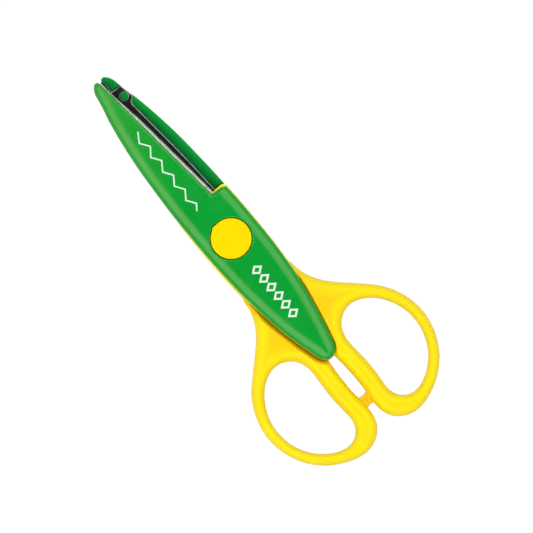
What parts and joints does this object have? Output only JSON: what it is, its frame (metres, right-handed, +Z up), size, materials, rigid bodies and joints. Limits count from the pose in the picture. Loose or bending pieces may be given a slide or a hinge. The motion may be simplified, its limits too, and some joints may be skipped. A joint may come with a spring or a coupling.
{
  "type": "decorative edge scissors",
  "caption": "Craft scissors with corrugated steel strips that cut a zigzag edge, green moulded covers, yellow finger loops and a capped pivot.",
  "frame": {"origin": "on the pivot axis, in the plane that the scissors lie on", "axes": "+X from the pivot to the tips, +Z up along the pivot axis, +Y towards the rear handle's finger loop"},
  "size_m": [0.1648, 0.0724, 0.012],
  "materials": {
    "green_plastic": "moulded green plastic, satin gloss",
    "yellow_plastic": "moulded yellow plastic, gloss",
    "blade_steel": "pressed steel strip, dark polished inner face and bright ground edge",
    "pivot_steel": "turned and plated steel"
  },
  "bodies": {
    "rear_half": {"rear_cover": "green_plastic", "rear_handle": "yellow_plastic", "rear_blade": "blade_steel", "rear_cap": "yellow_plastic", "pivot_post": "pivot_steel", "pivot_screw": "pivot_steel", "spring_washer": "pivot_steel", "flat_washer": "pivot_steel"},
    "front_half": {"front_cover": "green_plastic", "front_handle": "yellow_plastic", "front_blade": "blade_steel", "front_cap": "yellow_plastic"}
  },
  "joints": [
    {"name": "blade_pivot", "type": "hinge", "parent": "rear_half", "child": "front_half", "pos_m": [0, 0, 0.006], "axis": [0, 0, 1], "range_deg": [0, 50]}
  ]
}
